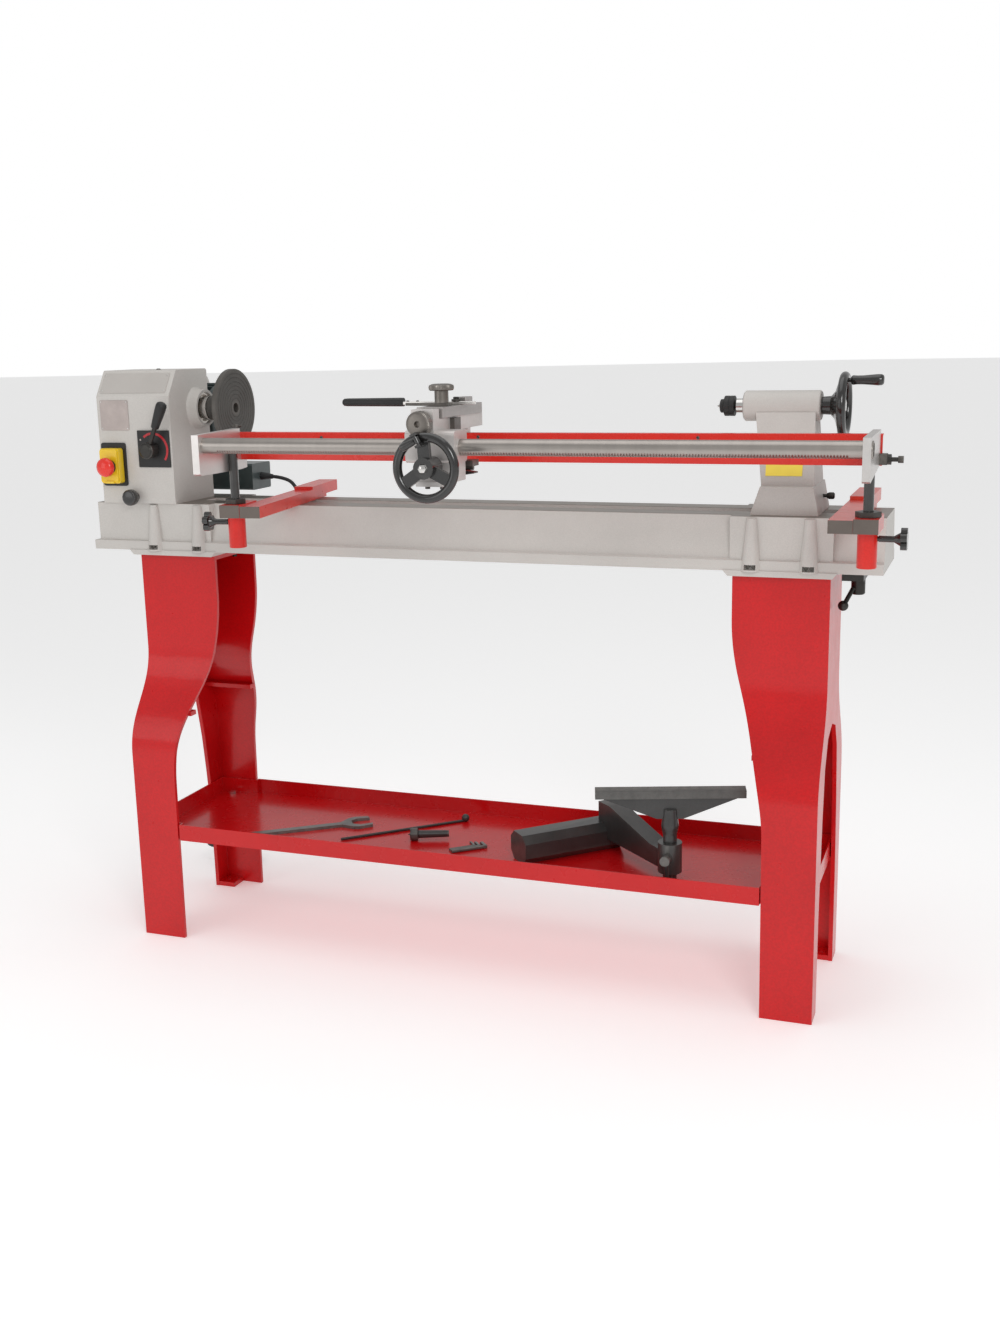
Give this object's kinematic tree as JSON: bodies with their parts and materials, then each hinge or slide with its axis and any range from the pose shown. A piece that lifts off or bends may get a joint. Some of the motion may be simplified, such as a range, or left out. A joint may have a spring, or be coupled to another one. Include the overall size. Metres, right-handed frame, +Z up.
{
  "type": "wood lathe",
  "caption": "Wood-turning lathe on a two-leg stand with a tool tray, variable-speed headstock, sliding tailstock and a copying attachment with a rack-driven carriage in front of the bed.",
  "frame": {"origin": "on the floor, at the centre of the rectangle of four floor anchor holes in the feet, with the spindle axis in the plane Y = 0", "axes": "+X along the bed from headstock to tailstock, +Y from the operator's side to the back, +Z up"},
  "size_m": [1.585, 0.736, 1.136],
  "materials": {
    "machine_grey_paint": "hammered light warm grey enamel",
    "red_paint": "glossy red enamel over a cast surface",
    "orange_red_paint": "glossy orange-red enamel",
    "dark_steel": "blackened steel",
    "bright_steel": "ground steel",
    "polished_steel": "polished bar",
    "pale_aluminium": "machined aluminium",
    "pale_casting": "pale grey casting",
    "slide_grey": "milled mid grey iron",
    "dark_iron": "dark grey cast iron",
    "black_gloss": "glossy black",
    "black_matte": "satin black",
    "motor_paint": "dark teal-black enamel",
    "yellow_plastic": "moulded yellow",
    "red_plastic": "moulded red",
    "plate_print": "blank anodised plate",
    "belt_rubber": "ribbed rubber",
    "cord_rubber": "black cord sheath",
    "bearing_steel": "ground bearing steel"
  },
  "bodies": {
    "stand": {"left_leg": "red_paint", "right_leg": "red_paint", "tool_tray": "red_paint", "stand_bolts": "dark_steel", "bed": "machine_grey_paint", "headstock_housing": "machine_grey_paint", "belt_cover": "machine_grey_paint", "label_plates": "plate_print", "control_plates": "black_matte", "switch_box": "yellow_plastic", "spindle_bearings": "bearing_steel", "motor_body": "motor_paint", "capacitor_box": "motor_paint", "drive_belt": "belt_rubber", "left_arm": "orange_red_paint", "right_arm": "orange_red_paint", "collar_nuts": "dark_steel", "arm_clamps": "dark_steel", "mains_cord": "cord_rubber", "cord_coil": "cord_rubber", "mains_plug": "cord_rubber"},
    "spindle": {"spindle": "polished_steel", "spindle_pulley": "dark_iron", "faceplate": "dark_iron"},
    "motor_rotor": {"motor_pulley": "dark_iron"},
    "speed_lever": {"speed_lever": "dark_steel", "speed_lever_grip": "black_gloss"},
    "stop_button": {"stop_button": "red_plastic"},
    "index_knob": {"index_knob": "black_gloss"},
    "tailstock": {"tailstock_body": "machine_grey_paint", "tailstock_clamp": "dark_steel"},
    "quill": {"quill": "polished_steel"},
    "live_centre": {"live_centre": "dark_steel"},
    "tail_wheel": {"tail_handwheel": "black_gloss"},
    "crank_handle": {"tail_crank_handle": "black_gloss"},
    "tail_lock_screw": {"tail_lock_screw": "dark_steel"},
    "copier_frame": {"copier_posts": "dark_steel", "end_plates": "pale_aluminium", "guide_tube": "polished_steel", "template_rail": "red_paint", "template_screws": "dark_steel"},
    "left_socket_knob": {"left_socket_knob": "black_gloss"},
    "right_socket_knob": {"right_socket_knob": "black_gloss"},
    "under_bed_lever": {"under_bed_lever": "dark_steel"},
    "carriage": {"carriage_body": "pale_casting", "stylus": "bright_steel"},
    "carriage_wheel": {"carriage_handwheel": "black_gloss"},
    "folding_handle": {"folding_handle": "black_gloss"},
    "feed_knob": {"feed_knob": "bright_steel"},
    "tool_slide": {"tool_slide": "slide_grey"},
    "cutter": {"cutter": "bright_steel"},
    "tool_knob": {"tool_knob": "dark_steel"},
    "feed_lever": {"feed_lever": "bright_steel"},
    "banjo": {"banjo": "dark_iron"},
    "tool_rest": {"tool_rest": "dark_iron"},
    "banjo_lever": {"banjo_lever": "dark_steel"},
    "fork_wrench": {"fork_wrench": "dark_steel"},
    "knockout_bar": {"knockout_bar": "dark_steel"},
    "drive_centre": {"drive_centre": "dark_steel"},
    "hex_keys": {"hex_keys": "dark_steel"}
  },
  "joints": [
    {"name": "spindle_spin", "type": "hinge", "parent": "stand", "child": "spindle", "pos_m": [-0.6, 0, 1.06], "axis": [1, 0, 0], "continuous": true},
    {"name": "motor_spin", "type": "hinge", "parent": "stand", "child": "motor_rotor", "pos_m": [-0.7, 0.15, 1.03], "axis": [1, 0, 0], "continuous": true},
    {"name": "speed_lever_turn", "type": "hinge", "parent": "stand", "child": "speed_lever", "pos_m": [-0.621, -0.1, 0.9845], "axis": [0, 1, 0], "range_deg": [-50, 30]},
    {"name": "stop_button_press", "type": "slide", "parent": "stand", "child": "stop_button", "axis": [0, 1, 0], "range_m": [0, 0.004], "stiffness_N_per_m": 800},
    {"name": "index_knob_pull", "type": "slide", "parent": "stand", "child": "index_knob", "axis": [0, -1, 0], "range_m": [0, 0.01]},
    {"name": "tailstock_slide", "type": "slide", "parent": "stand", "child": "tailstock", "axis": [1, 0, 0], "range_m": [-0.78, 0.02]},
    {"name": "quill_slide", "type": "slide", "parent": "tailstock", "child": "quill", "axis": [1, 0, 0], "range_m": [-0.05, 0]},
    {"name": "live_centre_spin", "type": "hinge", "parent": "quill", "child": "live_centre", "pos_m": [0.48, 0, 1.06], "axis": [1, 0, 0], "continuous": true},
    {"name": "tail_wheel_turn", "type": "hinge", "parent": "tailstock", "child": "tail_wheel", "pos_m": [0.66, 0, 1.06], "axis": [1, 0, 0], "range_deg": [-5, 3610]},
    {"name": "crank_handle_spin", "type": "hinge", "parent": "tail_wheel", "child": "crank_handle", "pos_m": [0.715, 0, 1.102], "axis": [1, 0, 0], "continuous": true},
    {"name": "tail_lock_turn", "type": "hinge", "parent": "tailstock", "child": "tail_lock_screw", "pos_m": [0.655, 0.02, 0.905], "axis": [1, 0, 0], "range_deg": [-90, 90]},
    {"name": "copier_height", "type": "slide", "parent": "stand", "child": "copier_frame", "axis": [0, 0, 1], "range_m": [-0.03, 0.05]},
    {"name": "left_socket_knob_turn", "type": "hinge", "parent": "stand", "child": "left_socket_knob", "pos_m": [-0.353, -0.254, 0.87], "axis": [0.9903, 0.1392, 0], "range_deg": [-180, 180]},
    {"name": "right_socket_knob_turn", "type": "hinge", "parent": "stand", "child": "right_socket_knob", "pos_m": [0.753, -0.254, 0.87], "axis": [1, 0, 0], "range_deg": [-180, 180]},
    {"name": "under_bed_lever_turn", "type": "hinge", "parent": "stand", "child": "under_bed_lever", "pos_m": [0.715, 0, 0.76], "axis": [0, 0, 1], "range_deg": [0, 120]},
    {"name": "carriage_slide", "type": "slide", "parent": "copier_frame", "child": "carriage", "axis": [1, 0, 0], "range_m": [-0.34, 0.6]},
    {"name": "carriage_wheel_turn", "type": "hinge", "parent": "carriage", "child": "carriage_wheel", "pos_m": [0.082, -0.403, 0.984], "axis": [0, 1, 0], "range_deg": [-2400, 1400]},
    {"name": "folding_handle_fold", "type": "hinge", "parent": "carriage_wheel", "child": "folding_handle", "pos_m": [0.074, -0.418, 1.029], "axis": [0.4384, 0, -0.8988], "range_deg": [-90, 0]},
    {"name": "feed_knob_turn", "type": "hinge", "parent": "carriage", "child": "feed_knob", "pos_m": [0.065, -0.38, 1.052], "axis": [0, 1, 0], "range_deg": [-620, 4820]},
    {"name": "tool_slide_feed", "type": "slide", "parent": "carriage", "child": "tool_slide", "axis": [0, 1, 0], "range_m": [-0.005, 0.04]},
    {"name": "cutter_turn", "type": "hinge", "parent": "tool_slide", "child": "cutter", "pos_m": [0.067, -0.292, 1.0787], "axis": [0, 0, 1], "range_deg": [-10, 60]},
    {"name": "tool_knob_turn", "type": "hinge", "parent": "tool_slide", "child": "tool_knob", "pos_m": [0.067, -0.292, 1.1], "axis": [0, 0, 1], "range_deg": [-180, 180]},
    {"name": "feed_lever_turn", "type": "hinge", "parent": "tool_slide", "child": "feed_lever", "pos_m": [0.076, -0.25, 1.0789], "axis": [0, 0, 1], "range_deg": [-25, 5]},
    {"name": "banjo_lift", "type": "slide", "parent": "stand", "child": "banjo", "axis": [0, 0, 1], "range_m": [0, 0.15]},
    {"name": "tool_rest_turn", "type": "hinge", "parent": "banjo", "child": "tool_rest", "pos_m": [0.408, -0.096, 0.3], "axis": [0, 0, 1], "range_deg": [-30, 40]},
    {"name": "banjo_lever_turn", "type": "hinge", "parent": "banjo", "child": "banjo_lever", "pos_m": [0.408, -0.13, 0.2632], "axis": [0, 1, 0], "range_deg": [-40, 40]},
    {"name": "fork_wrench_lift", "type": "slide", "parent": "stand", "child": "fork_wrench", "axis": [0, 0, 1], "range_m": [0, 0.1]},
    {"name": "knockout_bar_lift", "type": "slide", "parent": "stand", "child": "knockout_bar", "axis": [0, 0, 1], "range_m": [0, 0.1]},
    {"name": "drive_centre_lift", "type": "slide", "parent": "stand", "child": "drive_centre", "axis": [0, 0, 1], "range_m": [0, 0.1]},
    {"name": "hex_keys_lift", "type": "slide", "parent": "stand", "child": "hex_keys", "axis": [0, 0, 1], "range_m": [0, 0.1]}
  ],
  "couplings": [
    {"joint": "motor_spin", "follows": "spindle_spin", "ratio": 1.3478},
    {"joint": "tail_wheel_turn", "follows": "quill_slide", "rad_per_m": -1256.6},
    {"joint": "carriage_wheel_turn", "follows": "carriage_slide", "rad_per_m": -68.966},
    {"joint": "feed_knob_turn", "follows": "tool_slide_feed", "rad_per_m": 2094.4}
  ]
}
